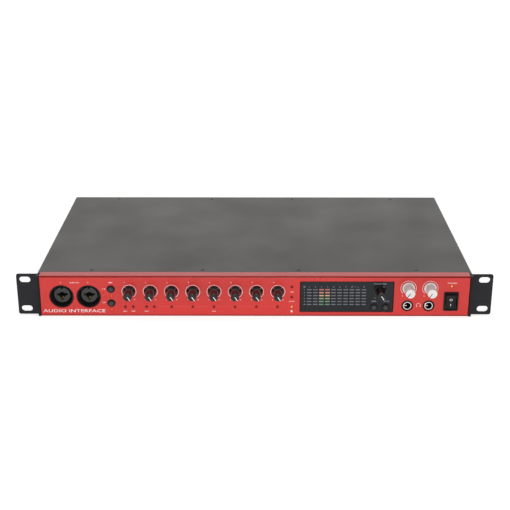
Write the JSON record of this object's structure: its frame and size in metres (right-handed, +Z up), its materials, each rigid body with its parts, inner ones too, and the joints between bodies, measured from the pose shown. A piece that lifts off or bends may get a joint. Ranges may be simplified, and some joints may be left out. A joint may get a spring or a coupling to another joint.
{
  "type": "audio interface",
  "caption": "One-unit rack audio interface: dark folded steel case, red fascia with combo sockets, gain knobs, level meter window, headphone outputs and mains rocker, black slotted ears.",
  "frame": {"origin": "under the middle of the whole object, on the plane the case rests on", "axes": "+X to the right as seen from the front, -Y out of the front panel, +Z up"},
  "size_m": [0.4826, 0.2798, 0.0444],
  "materials": {
    "cover": "fine dark grey powder coat",
    "fascia": "satin red anodised aluminium",
    "ears": "black powder coat",
    "chassis": "zinc plated steel sheet",
    "black_plastic": "moulded black plastic",
    "knobs": "soft black plastic with a white pointer",
    "white_knobs": "white moulded plastic with a dark pointer",
    "window": "dark tinted acrylic",
    "light_guide": "frosted plastic light bars",
    "circuit_board": "green solder mask",
    "supply_board": "brown board",
    "nickel": "bright nickel plate",
    "bare_aluminium": "plain extruded aluminium",
    "winding_tape": "yellow insulating tape",
    "sleeve": "dark shrink sleeve",
    "ribbon": "grey vinyl"
  },
  "bodies": {
    "chassis": {"chassis_tray": "chassis", "top_cover": "cover", "front_fascia": "fascia", "end_cap_left": "black_plastic", "end_cap_right": "black_plastic", "rack_ear_left": "ears", "rack_ear_right": "ears", "rear_panel_inputs": "ears", "rear_panel_outputs": "ears", "rear_panel_digital": "ears", "front_combo_socket_1": "black_plastic", "front_combo_socket_2": "black_plastic", "headphone_jack_1": "black_plastic", "headphone_jack_2": "black_plastic", "power_switch_housing": "black_plastic", "meter_window": "window", "meter_light_guide": "light_guide", "rear_combo_socket_1": "black_plastic", "rear_combo_socket_2": "black_plastic", "rear_combo_socket_3": "black_plastic", "rear_combo_socket_4": "black_plastic", "rear_combo_socket_5": "black_plastic", "rear_combo_socket_6": "black_plastic", "line_jack_block_1": "black_plastic", "line_jack_block_2": "black_plastic", "line_jack_block_3": "black_plastic", "line_jack_block_4": "black_plastic", "line_jack_block_5": "black_plastic", "midi_socket_1": "black_plastic", "midi_socket_2": "black_plastic", "coax_socket_block": "black_plastic", "optical_port_1": "black_plastic", "optical_port_2": "black_plastic", "mains_inlet": "black_plastic", "clock_socket": "nickel", "data_port": "nickel", "front_board": "circuit_board", "main_board": "circuit_board", "power_supply_board": "supply_board", "transformer": "winding_tape", "heat_sink": "bare_aluminium", "bulk_capacitor": "sleeve", "mains_harness": "sleeve", "ribbon_cable": "ribbon"},
    "gain_knob_1": {"gain_knob_1": "knobs"},
    "gain_knob_2": {"gain_knob_2": "knobs"},
    "gain_knob_3": {"gain_knob_3": "knobs"},
    "gain_knob_4": {"gain_knob_4": "knobs"},
    "gain_knob_5": {"gain_knob_5": "knobs"},
    "gain_knob_6": {"gain_knob_6": "knobs"},
    "gain_knob_7": {"gain_knob_7": "knobs"},
    "gain_knob_8": {"gain_knob_8": "knobs"},
    "monitor_knob": {"monitor_knob": "knobs"},
    "headphone_knob_1": {"headphone_knob_1": "white_knobs"},
    "headphone_knob_2": {"headphone_knob_2": "white_knobs"},
    "phantom_button_1": {"phantom_button_1": "black_plastic"},
    "phantom_button_2": {"phantom_button_2": "black_plastic"},
    "dim_button": {"dim_button": "black_plastic"},
    "mute_button": {"mute_button": "black_plastic"},
    "power_rocker": {"power_rocker": "black_plastic"}
  },
  "joints": [
    {"name": "gain_knob_1_turn", "type": "hinge", "parent": "chassis", "child": "gain_knob_1", "pos_m": [-0.1268, -0.12455, 0.02775], "axis": [0, 1, 0], "range_deg": [-294, 0]},
    {"name": "gain_knob_2_turn", "type": "hinge", "parent": "chassis", "child": "gain_knob_2", "pos_m": [-0.10533, -0.12455, 0.02775], "axis": [0, 1, 0], "range_deg": [-294, 0]},
    {"name": "gain_knob_3_turn", "type": "hinge", "parent": "chassis", "child": "gain_knob_3", "pos_m": [-0.08386, -0.12455, 0.02775], "axis": [0, 1, 0], "range_deg": [-294, 0]},
    {"name": "gain_knob_4_turn", "type": "hinge", "parent": "chassis", "child": "gain_knob_4", "pos_m": [-0.06239, -0.12455, 0.02775], "axis": [0, 1, 0], "range_deg": [-294, 0]},
    {"name": "gain_knob_5_turn", "type": "hinge", "parent": "chassis", "child": "gain_knob_5", "pos_m": [-0.04092, -0.12455, 0.02775], "axis": [0, 1, 0], "range_deg": [-294, 0]},
    {"name": "gain_knob_6_turn", "type": "hinge", "parent": "chassis", "child": "gain_knob_6", "pos_m": [-0.01945, -0.12455, 0.02775], "axis": [0, 1, 0], "range_deg": [-294, 0]},
    {"name": "gain_knob_7_turn", "type": "hinge", "parent": "chassis", "child": "gain_knob_7", "pos_m": [0.00202, -0.12455, 0.02775], "axis": [0, 1, 0], "range_deg": [-294, 0]},
    {"name": "gain_knob_8_turn", "type": "hinge", "parent": "chassis", "child": "gain_knob_8", "pos_m": [0.02349, -0.12455, 0.02775], "axis": [0, 1, 0], "range_deg": [-294, 0]},
    {"name": "monitor_knob_turn", "type": "hinge", "parent": "chassis", "child": "monitor_knob", "pos_m": [0.1267, -0.12455, 0.0289], "axis": [0, 1, 0], "range_deg": [-294, 0]},
    {"name": "headphone_knob_1_turn", "type": "hinge", "parent": "chassis", "child": "headphone_knob_1", "pos_m": [0.1552, -0.12455, 0.0318], "axis": [0, 1, 0], "range_deg": [0, 294]},
    {"name": "headphone_knob_2_turn", "type": "hinge", "parent": "chassis", "child": "headphone_knob_2", "pos_m": [0.1771, -0.12455, 0.0318], "axis": [0, 1, 0], "range_deg": [0, 294]},
    {"name": "phantom_button_1_press", "type": "slide", "parent": "chassis", "child": "phantom_button_1", "axis": [0, 1, 0], "range_m": [0, 0.0008], "stiffness_N_per_m": 400, "springref_m": -0.0005},
    {"name": "phantom_button_2_press", "type": "slide", "parent": "chassis", "child": "phantom_button_2", "axis": [0, 1, 0], "range_m": [0, 0.0008], "stiffness_N_per_m": 400, "springref_m": -0.0005},
    {"name": "dim_button_press", "type": "slide", "parent": "chassis", "child": "dim_button", "axis": [0, 1, 0], "range_m": [0, 0.0008], "stiffness_N_per_m": 400, "springref_m": -0.0005},
    {"name": "mute_button_press", "type": "slide", "parent": "chassis", "child": "mute_button", "axis": [0, 1, 0], "range_m": [0, 0.0008], "stiffness_N_per_m": 400, "springref_m": -0.0005},
    {"name": "power_rocker_tilt", "type": "hinge", "parent": "chassis", "child": "power_rocker", "pos_m": [0.1988, -0.12575, 0.0174], "axis": [1, 0, 0], "range_deg": [-22, 0]}
  ]
}
